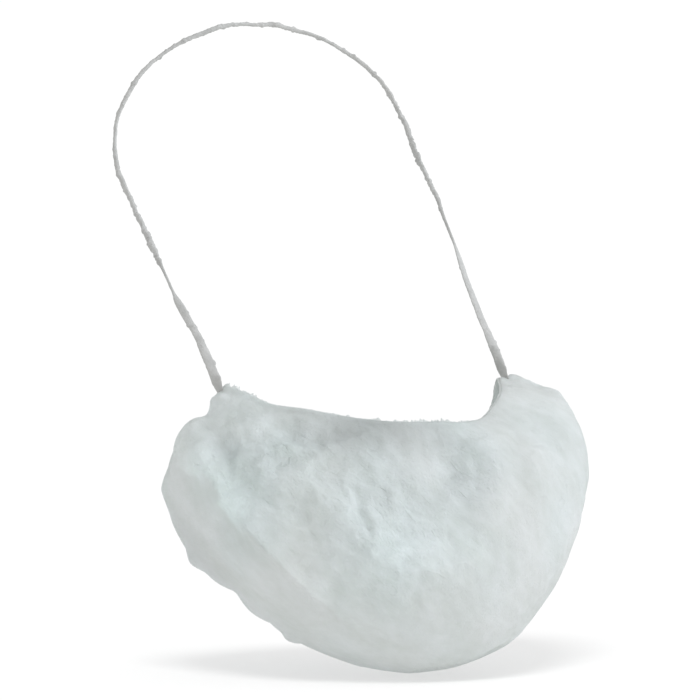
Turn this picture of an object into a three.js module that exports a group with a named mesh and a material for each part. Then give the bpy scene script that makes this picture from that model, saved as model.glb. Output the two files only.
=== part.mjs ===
// A disposable beard cover: a thin nonwoven pouch gathered into an elastic hem, and an elastic
// loop that goes over the head. Millimetres, +Z up. The chin side faces -Y and the throat +Y.
// The origin is under the top of the loop, where the cover rests on the crown of the head.

import * as THREE from 'three';

// ---- Driving dimensions -------------------------------------------------------------------

const WALL = 1.2;            // thickness of the cloth wall
const GAP = 0.3;             // clearance between neighbouring pieces

const COLUMNS = 100;         // facets round the pouch
const ROWS = 18;             // facets from the mouth down to the lowest point
const ROW_CROWDING = 0.6;    // 0 spaces the rows evenly, 1 crowds them at the mouth and the bottom

const GATHERS = 20;          // pleats drawn in by the elastic, all round the mouth
const GATHER_DEPTH = 1.8;    // how far a pleat stands out where it is fullest
const GATHER_START = 0.015;  // level by which the pleats begin before the edge
const GATHER_FULLEST = 0.06; // and how far on from there they are fullest

const HEM_RADIUS = 1.5;      // the gathered bead that holds the elastic
const HEM_RIPPLE = 0.35;     // how much the bead swells and narrows with each gather
const HEM_SIDES = 6;

const LOOP_SIDES = 8;
const LOOP_STEPS = 76;
const LOOP_END_CLEARANCE = 0.4;   // keeps the slanted loop end off the hem

// ---- Tables -------------------------------------------------------------------------------

// Closed sections of the pouch, from the mouth (level 0) to its lowest point (level 1).
// Extents run from the section's middle; heights are measured from the corners of the mouth.
// ends: above 1 the section narrows to a point at its two sides. hang: how suddenly the back
// drops away from the sides.
const SECTIONS = [
  { level: 0.00, left: 73, right: 75, front: 62, back: 30, midX: 0, midY: 0,
    leftZ: 0.5, rightZ: -1, frontZ: -14.5, backZ: -34, ends: 1.6, hang: 11 },
  { level: 0.06, left: 79, right: 83, front: 66, back: 36, midX: 0, midY: 0,
    leftZ: -7, rightZ: -1.5, frontZ: -20, backZ: -38, ends: 1.35, hang: 7 },
  { level: 0.16, left: 90, right: 95, front: 75, back: 43, midX: 0, midY: 0,
    leftZ: -18, rightZ: -6, frontZ: -31, backZ: -46, ends: 1.1, hang: 4 },
  { level: 0.30, left: 98, right: 101, front: 86, back: 48, midX: 0, midY: 0,
    leftZ: -33, rightZ: -19, frontZ: -47, backZ: -57, ends: 0.95, hang: 2.6 },
  { level: 0.46, left: 98, right: 101, front: 92, back: 46, midX: 0, midY: 0,
    leftZ: -50, rightZ: -38, frontZ: -66, backZ: -69, ends: 0.9, hang: 2 },
  { level: 0.62, left: 91, right: 93, front: 91, back: 41, midX: 0, midY: -4,
    leftZ: -69, rightZ: -62, frontZ: -85, backZ: -84, ends: 0.9, hang: 2 },
  { level: 0.78, left: 73, right: 76, front: 77, back: 25, midX: 1, midY: -14,
    leftZ: -92, rightZ: -86, frontZ: -104, backZ: -100, ends: 0.95, hang: 2 },
  { level: 0.90, left: 50, right: 53, front: 54, back: 13, midX: 2, midY: -25,
    leftZ: -111, rightZ: -108, frontZ: -118, backZ: -115, ends: 1, hang: 2 },
  { level: 0.97, left: 22, right: 26, front: 27, back: 7, midX: 2, midY: -31,
    leftZ: -123, rightZ: -122, frontZ: -125, backZ: -124, ends: 1, hang: 2 },
  { level: 1.00, left: 0, right: 0, front: 0, back: 0, midX: 2, midY: -33,
    leftZ: -127, rightZ: -127, frontZ: -127, backZ: -127, ends: 1, hang: 2 },
];
const FRONT_HANG = 2.2;      // how suddenly the front drops away from the sides

// Folds of the cloth. A route runs through [angle, level] places: 0 degrees is the right side,
// 90 the throat, -90 the chin and 180 the left side. raise: outward, or inward when negative.
const FOLDS = [
  { name: 'sunken chin panel', route: [[-122, 0.22], [-100, 0.3], [-88, 0.26]], raise: -7, reach: 30 },
  { name: 'ridge round the chin panel',
    route: [[-138, 0.22], [-122, 0.36], [-114, 0.53], [-100, 0.56], [-84, 0.52]], raise: 4.5, reach: 13 },
  { name: 'right edge of the chin panel',
    route: [[-66, 0.05], [-74, 0.2], [-78, 0.4]], raise: 3, reach: 14 },
  { name: 'left shoulder ridge',
    route: [[-176, 0.26], [-162, 0.26], [-152, 0.4], [-144, 0.58], [-140, 0.74]], raise: 4.5, reach: 12 },
  { name: 'hollow below the left corner', route: [[-164, 0.14], [-150, 0.21]], raise: -5, reach: 15 },
  { name: 'hollow below the left rim', route: [[-140, 0.07], [-128, 0.11]], raise: -3, reach: 13 },
  { name: 'slanting rim fold', route: [[-114, 0.06], [-131, 0.18]], raise: 3.5, reach: 10 },
  { name: 'chin crease', route: [[-117, 0.27], [-115, 0.38], [-112, 0.46]], raise: -2.5, reach: 11 },
  { name: 'lower left crease', route: [[-140, 0.76], [-128, 0.64], [-116, 0.62]], raise: -3, reach: 12 },
  { name: 'left side crease', route: [[-162, 0.46], [-154, 0.64]], raise: -3.5, reach: 14 },
  { name: 'pinch below the right rim', route: [[-86, 0.06], [-80, 0.2]], raise: -2.5, reach: 11 },
  { name: 'right cheek crease', route: [[-48, 0.12], [-56, 0.32], [-52, 0.5]], raise: -2.5, reach: 13 },
  { name: 'right side swell', route: [[-24, 0.3], [-30, 0.5]], raise: 2, reach: 24 },
  { name: 'throat crease', route: [[78, 0.08], [84, 0.3], [70, 0.55]], raise: -4, reach: 15 },
  { name: 'left throat crease', route: [[128, 0.1], [136, 0.36]], raise: -4, reach: 15 },
  { name: 'right throat ridge', route: [[42, 0.12], [38, 0.4]], raise: 3.5, reach: 13 },
];

// Half of the loop, from a corner of the mouth up to the crown; the other half mirrors it.
const LOOP_ROUTE = [
  { side: 74.5, back: 0, up: 0 },
  { side: 74.5, back: 14, up: 20 },
  { side: 75.5, back: 34, up: 40 },
  { side: 77.5, back: 52, up: 60 },
  { side: 78.5, back: 70, up: 80 },
  { side: 78, back: 84, up: 96 },
  { side: 75.5, back: 91, up: 110 },
  { side: 71.5, back: 94, up: 120 },
  { side: 65, back: 96, up: 129.5 },
  { side: 56, back: 98.5, up: 138 },
  { side: 44, back: 101, up: 145.5 },
  { side: 30, back: 102, up: 151.5 },
  { side: 15, back: 102, up: 155 },
  { side: 0, back: 102, up: 156.3 },
];

// The loop is a flat ribbon where it leaves the hem and a round, drawn-in cord over the head.
// share: part of the way from an end to the crown.
const LOOP_WIDTHS = [
  { share: 0.00, width: 5.2, thick: 2.0 },
  { share: 0.14, width: 4.2, thick: 2.0 },
  { share: 0.28, width: 3.0, thick: 2.4 },
  { share: 1.00, width: 2.4, thick: 2.4 },
];

// ---- Helpers ------------------------------------------------------------------------------

const radians = THREE.MathUtils.degToRad;

// Reads every column of a table at a place between its rows, as a smooth curve through them.
function readTable(table, key, place) {
  const last = table.length - 1;
  let row = 0;
  while (row < last - 1 && place > table[row + 1][key]) row += 1;
  const start = table[row];
  const end = table[row + 1];
  const span = end[key] - start[key];
  const t = THREE.MathUtils.clamp((place - start[key]) / span, 0, 1);
  const slope = (index, column) => {
    const before = table[Math.max(index - 1, 0)];
    const after = table[Math.min(index + 1, last)];
    return (after[column] - before[column]) / (after[key] - before[key]);
  };
  const values = {};
  for (const column of Object.keys(start)) {
    values[column] = (2 * t ** 3 - 3 * t ** 2 + 1) * start[column]
      + (t ** 3 - 2 * t ** 2 + t) * span * slope(row, column)
      + (3 * t ** 2 - 2 * t ** 3) * end[column]
      + (t ** 3 - t ** 2) * span * slope(row + 1, column);
  }
  return values;
}

// Joins rings of equal length into one closed surface. With ends, the first and last ring close
// to these points; without, the last ring joins the first.
function loft(rings, ends = null) {
  const count = rings[0].length;
  const points = rings.flat();
  const faces = [];
  const spans = ends ? rings.length - 1 : rings.length;
  for (let ring = 0; ring < spans; ring += 1) {
    const here = ring * count;
    const next = ((ring + 1) % rings.length) * count;
    for (let i = 0; i < count; i += 1) {
      const j = (i + 1) % count;
      faces.push([here + i, here + j, next + j], [here + i, next + j, next + i]);
    }
  }
  if (ends) {
    const lastRing = (rings.length - 1) * count;
    for (let i = 0; i < count; i += 1) {
      const j = (i + 1) % count;
      faces.push([points.length, j, i], [points.length + 1, lastRing + i, lastRing + j]);
    }
    points.push(...ends);
  }
  const volume = faces.reduce((sum, [a, b, c]) => (
    sum + points[a].dot(new THREE.Vector3().crossVectors(points[b], points[c]))), 0);
  const outward = volume > 0 ? faces : faces.map(([a, b, c]) => [a, c, b]);
  const geometry = new THREE.BufferGeometry().setFromPoints(points);
  geometry.setIndex(outward.flat());
  geometry.computeVertexNormals();
  return geometry;
}

function distanceToRoute(point, route) {
  const nearest = new THREE.Vector3();
  let best = Infinity;
  for (let i = 0; i < route.length - 1; i += 1) {
    new THREE.Line3(route[i], route[i + 1]).closestPointToPoint(point, true, nearest);
    best = Math.min(best, nearest.distanceTo(point));
  }
  return best;
}

// ---- The pouch's surface ------------------------------------------------------------------

function plainPoint(angle, level) {
  const section = readTable(SECTIONS, 'level', level);
  const across = Math.cos(angle);
  const along = Math.sin(angle);
  const halfWidth = across > 0 ? section.right : section.left;
  const halfDepth = along > 0 ? section.back : section.front;
  const sideZ = across > 0 ? section.rightZ : section.leftZ;
  const middleZ = along > 0 ? section.backZ : section.frontZ;
  const towardSide = Math.abs(across) ** (along > 0 ? section.hang : FRONT_HANG);
  return new THREE.Vector3(
    section.midX + halfWidth * across,
    section.midY + halfDepth * Math.sign(along) * Math.abs(along) ** section.ends,
    THREE.MathUtils.lerp(middleZ, sideZ, towardSide),
  );
}

// The direction down the cloth and the direction out of it, at a place on the plain surface.
function clothDirections(angle, level) {
  const turn = 0.02;
  const step = 0.004;
  const round = plainPoint(angle + turn, level).sub(plainPoint(angle - turn, level));
  const down = plainPoint(angle, Math.min(level + step, 1)).sub(plainPoint(angle, Math.max(level - step, 0)));
  down.normalize();
  const out = new THREE.Vector3().crossVectors(down, round).normalize();
  return { down, out };
}

const foldRoutes = FOLDS.map((fold) => (
  fold.route.map(([degrees, level]) => plainPoint(radians(degrees), level))));

function foldHeight(point) {
  return FOLDS.reduce((sum, fold, index) => {
    const share = distanceToRoute(point, foldRoutes[index]) / fold.reach;
    return share < 1 ? sum + fold.raise * (0.5 + 0.5 * Math.cos(Math.PI * share)) : sum;
  }, 0);
}

function gatherHeight(angle, level) {
  const drift = 0.35 * Math.sin(3 * angle + 0.8);
  const strength = 0.75 + 0.25 * Math.sin(5 * angle + 1);
  const along = (level + GATHER_START) / GATHER_FULLEST;
  return GATHER_DEPTH * strength * Math.cos(GATHERS * angle + drift) * along * Math.exp(1 - along);
}

function clothPoint(angle, level) {
  const point = plainPoint(angle, level);
  const { out } = clothDirections(angle, level);
  return point.addScaledVector(out, foldHeight(point) + gatherHeight(angle, level));
}

const ringAngles = Array.from({ length: COLUMNS }, (_, i) => (2 * Math.PI * i) / COLUMNS);

// ---- Pieces -------------------------------------------------------------------------------

function pouchGeometry() {
  const outer = [];
  const inner = [];
  for (let row = 0; row < ROWS; row += 1) {
    const level = THREE.MathUtils.lerp(row / ROWS, 0.5 - 0.5 * Math.cos(Math.PI * row / ROWS), ROW_CROWDING);
    outer.push(ringAngles.map((angle) => clothPoint(angle, level)));
    inner.push(outer[row].map((point, i) => (
      point.clone().addScaledVector(clothDirections(ringAngles[i], level).out, -WALL))));
  }
  const lowest = plainPoint(0, 1);
  const lowestInside = lowest.clone().add(new THREE.Vector3(0, 0, WALL));
  return loft([...inner.toReversed(), ...outer], [lowestInside, lowest]);
}

// The middle of the hem bead, which caps the edge of the cloth.
function hemCentre(angle) {
  const { down, out } = clothDirections(angle, 0);
  return clothPoint(angle, 0)
    .addScaledVector(out, -WALL / 2)
    .addScaledVector(down, -(HEM_RADIUS + HEM_RIPPLE + GAP));
}

function hemGeometry() {
  const rings = ringAngles.map((angle) => {
    const { down, out } = clothDirections(angle, 0);
    const radius = HEM_RADIUS + HEM_RIPPLE * Math.cos(2 * GATHERS * angle);
    return Array.from({ length: HEM_SIDES }, (_, i) => {
      const turn = (2 * Math.PI * i) / HEM_SIDES;
      return hemCentre(angle)
        .addScaledVector(down, radius * Math.cos(turn))
        .addScaledVector(out, radius * Math.sin(turn));
    });
  });
  return loft(rings);
}

// The loop's centre line, from the right corner over the crown to the left corner.
function loopCurve() {
  const right = LOOP_ROUTE.map(({ side, back, up }) => new THREE.Vector3(side, back, up));
  const left = right.slice(0, -1).map((point) => new THREE.Vector3(-point.x, point.y, point.z));
  [[right, 0], [left, Math.PI]].forEach(([leg, corner]) => {
    const rising = leg[1].clone().sub(leg[0]).normalize();
    leg[0] = hemCentre(corner).addScaledVector(rising, HEM_RADIUS + GAP + LOOP_END_CLEARANCE);
  });
  return new THREE.CatmullRomCurve3([...right, ...left.toReversed()], false, 'centripetal');
}

function loopGeometry() {
  const curve = loopCurve();
  const forward = new THREE.Vector3(0, -1, 0);
  const rings = [];
  for (let step = 0; step <= LOOP_STEPS; step += 1) {
    const place = step / LOOP_STEPS;
    const { width, thick } = readTable(LOOP_WIDTHS, 'share', 1 - Math.abs(1 - 2 * place));
    const centre = curve.getPointAt(place);
    const tangent = curve.getTangentAt(place);
    const sideways = new THREE.Vector3().crossVectors(forward, tangent).normalize();
    const facing = new THREE.Vector3().crossVectors(tangent, sideways);
    rings.push(Array.from({ length: LOOP_SIDES }, (_, i) => {
      const turn = (2 * Math.PI * (i + 0.5)) / LOOP_SIDES;
      return centre.clone()
        .addScaledVector(sideways, (width / 2) * Math.cos(turn))
        .addScaledVector(facing, (thick / 2) * Math.sin(turn));
    }));
  }
  return loft(rings, [curve.getPointAt(0), curve.getPointAt(1)]);
}

// ---- Assembly -----------------------------------------------------------------------------

function piece(name, geometry, color, roughness) {
  const material = new THREE.MeshStandardMaterial({ color, roughness, metalness: 0 });
  material.side = THREE.DoubleSide;
  const mesh = new THREE.Mesh(geometry, material);
  mesh.name = name;
  return mesh;
}

const crown = LOOP_ROUTE.at(-1);
const crownThickness = LOOP_WIDTHS.at(-1).thick;
const beardCover = new THREE.Group();
beardCover.position.set(0, -crown.back, crownThickness / 2 - crown.up);
beardCover.add(
  piece('pouch', pouchGeometry(), 0xd9e2e0, 0.8),
  piece('rim_elastic', hemGeometry(), 0xc9d2d0, 0.85),
  piece('head_loop', loopGeometry(), 0xb9bab6, 0.9),
);

const object = new THREE.Group();
object.add(beardCover);
object.updateMatrixWorld(true);

export default object;
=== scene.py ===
"""The looks of a disposable beard cover: a crumpled nonwoven pouch, gathered into an elastic hem,
with an elastic loop that goes over the head. Tables are in millimetres and Blender in metres.
The pouch's chin side faces -Y, its throat side +Y, and the loop rises over the back."""

import math

import bpy
import numpy as np
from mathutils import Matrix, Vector, noise


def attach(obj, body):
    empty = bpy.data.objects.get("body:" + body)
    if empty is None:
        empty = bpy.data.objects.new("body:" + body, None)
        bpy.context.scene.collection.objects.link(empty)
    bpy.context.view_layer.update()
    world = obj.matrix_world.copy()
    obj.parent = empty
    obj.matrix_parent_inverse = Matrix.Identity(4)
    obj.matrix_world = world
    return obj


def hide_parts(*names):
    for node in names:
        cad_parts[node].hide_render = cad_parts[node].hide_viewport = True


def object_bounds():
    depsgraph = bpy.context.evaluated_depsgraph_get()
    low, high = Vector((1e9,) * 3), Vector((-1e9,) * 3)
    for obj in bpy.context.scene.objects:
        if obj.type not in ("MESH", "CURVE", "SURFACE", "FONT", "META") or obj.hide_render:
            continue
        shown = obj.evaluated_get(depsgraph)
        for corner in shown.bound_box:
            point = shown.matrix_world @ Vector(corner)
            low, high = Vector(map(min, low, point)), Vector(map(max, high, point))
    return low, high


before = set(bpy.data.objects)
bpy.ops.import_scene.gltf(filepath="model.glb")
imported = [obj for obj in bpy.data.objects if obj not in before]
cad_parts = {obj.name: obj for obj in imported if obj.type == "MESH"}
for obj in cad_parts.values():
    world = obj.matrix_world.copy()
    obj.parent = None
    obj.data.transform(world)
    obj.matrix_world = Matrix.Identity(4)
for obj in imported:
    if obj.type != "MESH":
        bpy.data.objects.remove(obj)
cad_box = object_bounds()

# ---- Sizes, in millimetres

MM = 0.001
WALL = 1.2                # the CAD wall, which the hem sits over
GAP = 0.3                 # between the CAD wall and the CAD hem
HEM_RADIUS = 1.5          # of the CAD hem
HEM_RIPPLE = 0.35         # and how far it ripples

CELL = 1.25               # edge length of the cloth's mesh
CLOTH_THICKNESS = 0.3
CLOTH_RUN = 170           # about how far it is down the cloth from its edge to its lowest point
PLEATS = 96               # pleats round the mouth
PLEATS_START = 1.2        # how far below the hem they come up
FINE_PLEATS = 235         # and finer ones
FINE_FADE = 3             # how far down the fine pleats die out

SIM_SCALE = 10            # the cloth solver runs on a copy this much larger, which is steadier
CALM_HELD = 0.15          # how much more firmly it keeps calm cloth to its form
BROAD_STEPS = 60          # rounds of smoothing that leave only the simulation's broad movement
BROAD_KEPT = 0.15         # how much of that broad movement stays, so that the form does
FOLDS_KEPT = 0.34         # how much of its folds stays
MOST_MOVED = 4.5          # how far the simulation may move any point of the cloth
CRUMPLED_LEAST = 0.08     # how strongly the cloth is crumpled where the table of places is silent

HEM_RINGS = 1400
HEM_SIDES = 14
HEM_DEPTH = 2.0           # half of the hem, down the cloth
HEM_BULGE = 0.62          # and out of it
HEM_SUNK = 0.15           # how far inward it is moved
TUFTS_CUT = 0.2           # how much is cut off its tufts, so that some places have none
SCALLOPS = 190            # puffs of gathered cloth along the hem
SCALLOP_LEAN = 0.4        # how far they lean along it, in radians
SCALLOP_FULLNESS = 0.7    # 1 rounds them as a sine does, and less fills them out
SCALLOP_MIDDLE = 0.6      # their mean height
SCALLOP_RISE = 0.35       # how much they add to the frill
SCALLOP_BULGE = 0.15      # and to the hem's bulge

LOOP_RINGS = 900
LOOP_SIDES = 16
LOOP_BUMP = 0.7           # the most that the loop's bunched cover stands out
LOOP_TUFTS_CUT = 0.448    # how much is cut off its tufts, so that they stand apart
LOOP_TUFTED = 1 / 6       # the bunching from which they are full
LOOP_STEADY = 0.04        # share of the loop, from each end, in which it wanders less
LOOP_SEWN_DOWN = 3.0      # where its ends lie, from the middle of the hem
LOOP_SEWN_IN = 1.3

# ---- Tables

def table(columns, *rows):
    """The rows of a table, each by the names of its columns."""
    return [dict(zip(columns.split(), row)) for row in rows]


# Closed sections of the pouch, from its mouth (level 0) to its lowest point (level 1), as in CAD.
# left to back: how far each reaches from its middle; left_z to back_z: its heights there; ends: 1 is
# an ellipse and more is pointed; hang: the more, the nearer to its ends the throat side drops.
SECTIONS = table(
    "level left right front back mid_x mid_y left_z right_z front_z back_z ends hang",
    (0.00, 73,  75, 62, 30, 0,   0,  0.5,   -1, -14.5,  -34,  1.6,  11),
    (0.06, 79,  83, 66, 36, 0,   0,   -7, -1.5,   -20,  -38, 1.35,   7),
    (0.16, 90,  95, 75, 43, 0,   0,  -18,   -6,   -31,  -46,  1.1,   4),
    (0.30, 98, 101, 86, 48, 0,   0,  -33,  -19,   -47,  -57, 0.95, 2.6),
    (0.46, 98, 101, 92, 46, 0,   0,  -50,  -38,   -66,  -69,  0.9,   2),
    (0.62, 91,  93, 91, 41, 0,  -4,  -69,  -62,   -85,  -84,  0.9,   2),
    (0.78, 73,  76, 77, 25, 1, -14,  -92,  -86,  -104, -100, 0.95,   2),
    (0.90, 50,  53, 54, 13, 2, -25, -111, -108,  -118, -115,    1,   2),
    (0.97, 22,  26, 27,  7, 2, -31, -123, -122,  -125, -124,    1,   2),
    (1.00,  0,   0,  0,  0, 2, -33, -127, -127,  -127, -127,    1,   2),
)
FRONT_HANG = 2.2          # the same for the chin side

# Folds of the cloth. A route runs through (degrees, level) places: 0 degrees is the right side,
# 90 the throat, -90 the chin and 180 the left side. raised: outward, or inward when negative.
# sharp: 0 is a round fold and 1 a crease.
FOLDS = table(
    "name raised reach sharp route",
    ("sunken chin panel", -4.5, 30, 0, [(-122, 0.20), (-100, 0.28), (-88, 0.24)]),
    ("lower edge of the chin panel", 2.5, 13, 0.4,
     [(-134, 0.23), (-129, 0.31), (-124, 0.41), (-115, 0.53), (-100, 0.54), (-88, 0.50)]),
    ("tail of that edge", 1.4, 9, 0.3, [(-117, 0.52), (-125, 0.62), (-131, 0.73)]),
    ("lip of the chin panel", 0.9, 7, 0.5, [(-112, 0.50), (-106, 0.47), (-96, 0.45)]),
    ("crease above the lip", -0.8, 4, 0.7, [(-107, 0.415), (-98, 0.40)]),
    ("right edge of the chin panel", 1.5, 14, 0, [(-66, 0.05), (-74, 0.20), (-82, 0.38)]),
    ("left shoulder ridge", 3.8, 12, 0.6,
     [(-168, 0.22), (-160, 0.32), (-156, 0.40), (-150, 0.51), (-139, 0.68)]),
    ("valley beside the shoulder ridge", -2.0, 7, 0.4,
     [(-150, 0.27), (-145, 0.31), (-140, 0.36), (-134, 0.38)]),
    ("broad ridge of the lower left", 2.5, 22, 0, [(-156, 0.60), (-150, 0.78)]),
    ("hollow below the left corner", -2.8, 8, 0.4, [(-170, 0.12), (-163, 0.14), (-158, 0.175)]),
    ("pit in that hollow", -2.0, 5, 0.6, [(-162, 0.155), (-156.5, 0.19)]),
    ("nick beside the hollow", -0.9, 4, 0.6, [(-176, 0.12), (-170, 0.12)]),
    ("facet below the left rim", 1.4, 9, 0.1, [(-151, 0.08), (-144, 0.10)]),
    ("crease left of the facet", -0.9, 5, 0.6, [(-161, 0.03), (-155, 0.09), (-151, 0.14)]),
    ("faint fold below the facet", 0.8, 4.5, 0.7, [(-148, 0.165), (-137, 0.14), (-130, 0.13)]),
    ("hollow below the left rim", -2, 9, 0.3, [(-143, 0.06), (-136, 0.09), (-130, 0.085)]),
    ("slanting rim fold", 1.1, 5.5, 0.7, [(-112, 0.035), (-121, 0.08), (-128, 0.14), (-132, 0.20)]),
    ("chin crease", -0.9, 4, 0.8, [(-118, 0.24), (-117.5, 0.32), (-116, 0.41)]),
    ("hollow below the shoulder ridge", -1.5, 10, 0.1, [(-160, 0.50), (-155, 0.57)]),
    ("lower left valley", -1.0, 9, 0.5, [(-131, 0.52), (-137, 0.60), (-142, 0.70)]),
    ("pinch below the right rim", -1.2, 9, 0.2, [(-79, 0.04), (-86, 0.13), (-92, 0.23)]),
    ("pit below the right rim", -1.2, 3, 0.6, [(-87, 0.18), (-84, 0.195)]),
    ("right cheek crease", -1, 14, 0.2, [(-44, 0.14), (-52, 0.26), (-53, 0.44)]),
    ("right cheek ridge", 1.2, 12, 0.3, [(-60, 0.20), (-62, 0.34), (-70, 0.48)]),
    ("short right cheek fold", 0.8, 5, 0.6, [(-58, 0.19), (-52, 0.21)]),
    ("right side swell", 2, 24, 0, [(-24, 0.30), (-30, 0.50)]),
    ("throat crease", -4, 15, 0.3, [(78, 0.08), (84, 0.30), (70, 0.55)]),
    ("left throat crease", -4, 15, 0.3, [(128, 0.10), (136, 0.36)]),
    ("right throat ridge", 3.5, 13, 0.3, [(42, 0.12), (38, 0.40)]),

    # The uneven outline of the pouch, down its left side and up its right.
    ("ear at the left corner", 1.8, 5, 0.2, [(-172, 0.02), (177, 0.03)]),
    ("notch below the ear", -2, 6, 0.5, [(-174, 0.085), (172, 0.075)]),
    ("left shoulder", 2.6, 12, 0, [(-176, 0.125), (178, 0.16)]),
    ("dent below the shoulder", -1.4, 10, 0, [(171, 0.28), (164, 0.30)]),
    ("waist of the left side", -3, 14, 0.2, [(164, 0.50), (164, 0.58)]),
    ("bulge below the waist", 1.9, 8, 0.3, [(160, 0.66), (171, 0.67)]),
    ("third dent of the left side", -2.6, 10, 0.2, [(160, 0.76), (174, 0.78)]),
    ("fourth dent of the left side", -2.2, 6, 0.4, [(166, 0.85), (177, 0.865)]),
    ("step at the lower left", 1.8, 5, 0.4, [(175, 0.89), (-178, 0.895)]),
    ("rise of the lower right side", -3.8, 14, 0, [(-88, 0.965), (-62, 0.92)]),
    ("dent of the lower right side", -1.6, 14, 0, [(-50, 0.79), (-48, 0.73)]),
    ("dent of the right side", -1.2, 12, 0, [(-30, 0.50), (-31, 0.54)]),
    ("right shoulder", 2.3, 11, 0, [(-12, 0.17), (-17, 0.20)]),
    ("notch before the right shoulder", -2.6, 5, 0.4, [(-5, 0.12), (-9, 0.15)]),
    ("notch of the right shoulder", -0.9, 4, 0.4, [(-14, 0.20), (-18, 0.22)]),
    ("puff at the right corner", 1.4, 8, 0, [(6, 0.01), (-2, 0.02)]),
)

# Dips of the mouth's edge, beside its right corner and its left one.
RIM_DIPS = table(
    "degrees spread depth level",
    (-64, 13, 3, 0.09),
    (-146, 9, 1.7, 0.07),
)

# Pleats round the mouth. depth: of a pleat; fade: how far down the cloth it dies out.
PLEATING = table(
    "degrees depth fade",
    (-180, 0.45,  7),
    (-160, 0.45,  7),
    (-145, 0.15,  5),
    (-120, 0.15,  6),
    ( -95, 0.25,  8),
    ( -70, 0.35,  9),
    ( -40, 0.35, 10),
    ( -12, 1.25, 20),
    (  15, 0.80, 22),
    (  90, 0.55, 16),
    ( 150, 0.55, 12),
    ( 180, 0.45,  7),
)

# Where the cloth is crumpled. strength: 1 is most; reach: how far from the place that spreads.
CRUMPLED = table(
    "name strength reach degrees level",
    ("left cheek", 1.0, 42, -145, 0.24),
    ("chin", 0.9, 44, -112, 0.34),
    ("under the right rim", 0.8, 26, -82, 0.16),
    ("right cheek", 0.24, 40, -48, 0.34),
    ("left side", 0.35, 40, 170, 0.30),
    ("throat", 0.7, 70, 90, 0.40),
)

# Flat facets that the crumpled cloth is broken into, drawn out along its slanting folds.
# width: of a facet; depth: how far its corners stand in or out; drawn_out: 0 is not at all.
FACETS = table(
    "width depth drawn_out seed",
    (20, 2.6, 0.45, 51),
    (9, 1.1, 0.50, 52),
    (4.5, 0.55, 0.50, 53),
)

# The shoulder ridge's edge: calm cloth on its left, and crumpled cloth on its right, with painted light
# on both sides, most on the right, where the ridge faces the light. width: of the border between them;
# wander: how far facets shift it; shading_left, shading_right: painted shade, or painted light where
# negative, as in PAINTED_SHADING, dying out over reach; calmed: how much less crumpled the left is,
# within calm_reach.
EDGE = dict(
    route=[(-176, 0.26), (-166, 0.275), (-160, 0.32), (-156, 0.39), (-151, 0.48), (-145, 0.57),
           (-140, 0.66)],
    width=1.3, wander=8, shading_left=-0.3, shading_right=-1.8, reach=18, calmed=0.75, calm_reach=45,
)
EDGE_FACETS = dict(width=15, drawn_out=0.3, seed=71)

# Painted shade and painted light on the cloth, along routes of (degrees, level) places: darker under the
# rim, in hollows and on the lower left, which faces away from the light, and lighter on faces turned to
# it.
# shading: 1 is painted shade, darker, and -1 painted light, lighter.
PAINTED_SHADING = table(
    "name dense reach route",
    ("below the left rim", 0.9, 12, [(-138, 0.06), (-124, 0.10)]),
    ("below the rim", 2.6, 11, [(-118, 0.02), (-104, 0.02), (-90, 0.05)]),
    ("below the right rim", 1.1, 12, [(-84, 0.08), (-84, 0.17)]),
    ("chin", 0.4, 15, [(-104, 0.27), (-94, 0.24)]),
    ("hollow below the left corner", 1.5, 5, [(-161, 0.15), (-155, 0.20)]),
    ("facet below the left rim", -0.9, 7, [(-149, 0.09), (-143, 0.08)]),
    ("left cheek", -0.6, 9, [(-153, 0.36), (-137, 0.42)]),
    ("foot of the shoulder ridge", 0.3, 9, [(-157, 0.51), (-155, 0.55)]),
    ("lower left side", 1.1, 24, [(178, 0.58), (178, 0.70)]),
    ("lower end of the edge", 0.4, 14, [(-145, 0.56), (-138, 0.70)]),
    ("below the chin", -0.7, 13, [(-112, 0.46), (-92, 0.46)]),
    ("top of the right lobe", -0.8, 14, [(-32, 0.05), (-30, 0.12)]),
    ("right lobe", -0.3, 20, [(-56, 0.18), (-52, 0.26)]),
)
SHADING_FACETS = dict(width=13, drawn_out=0.5, seed=61)
SHADING_VARIES = 0.7      # how much more or less painted shade or light the facets carry
PAINTED_SHADE_DEPTH = 0.05          # how much darker painted shade makes the cloth, and painted light lighter

# Rows of cloth that wrap the hem, from its middle. down: down the cloth; out: out of it.
HEM_COVER = table("down out", (-1.35, 0.42), (-0.6, 0.66), (0.8, 0.74))

# How ragged the hem's upper edge is. frill: how far its tufts stand up.
RAGGED = table(
    "degrees frill",
    (-180, 1.6),
    (-166, 2.0),
    (-157, 1.8),
    (-148, 0.6),
    (-130, 0.4),
    (-116, 1.0),
    (-102, 1.4),
    ( -88, 1.7),
    ( -72, 1.6),
    ( -64, 0.3),
    ( -30, 0.2),
    (   0, 0.3),
    (  90, 0.5),
    ( 180, 1.0),
)

# How the cloth is crumpled, one simulation after the other. swell: how much too large the cloth
# is for its form. hold: how firmly it is kept to that form, from 0 to 1.
CRUMPLES = table(
    "name swell bending hold frames",
    ("soft folds", 0.055, 12, 0.15, 24),
    ("crisp creases", 0.025, 0.6, 0.30, 12),
)

# Half of the loop, from a corner of the mouth up to the crown, as in CAD; the other half mirrors it.
LOOP_ROUTE = [
    (74.5, 0, 0), (74.5, 14, 20), (75.5, 34, 40), (77.5, 52, 60), (78.5, 70, 80), (78, 84, 96),
    (75.5, 91, 110), (71.5, 94, 120), (65, 96, 129.5), (56, 98.5, 138), (44, 101, 145.5),
    (30, 102, 151.5), (15, 102, 155), (0, 102, 156.3),
]
LOOP_CROWN_THICKNESS = 2.4

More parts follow.
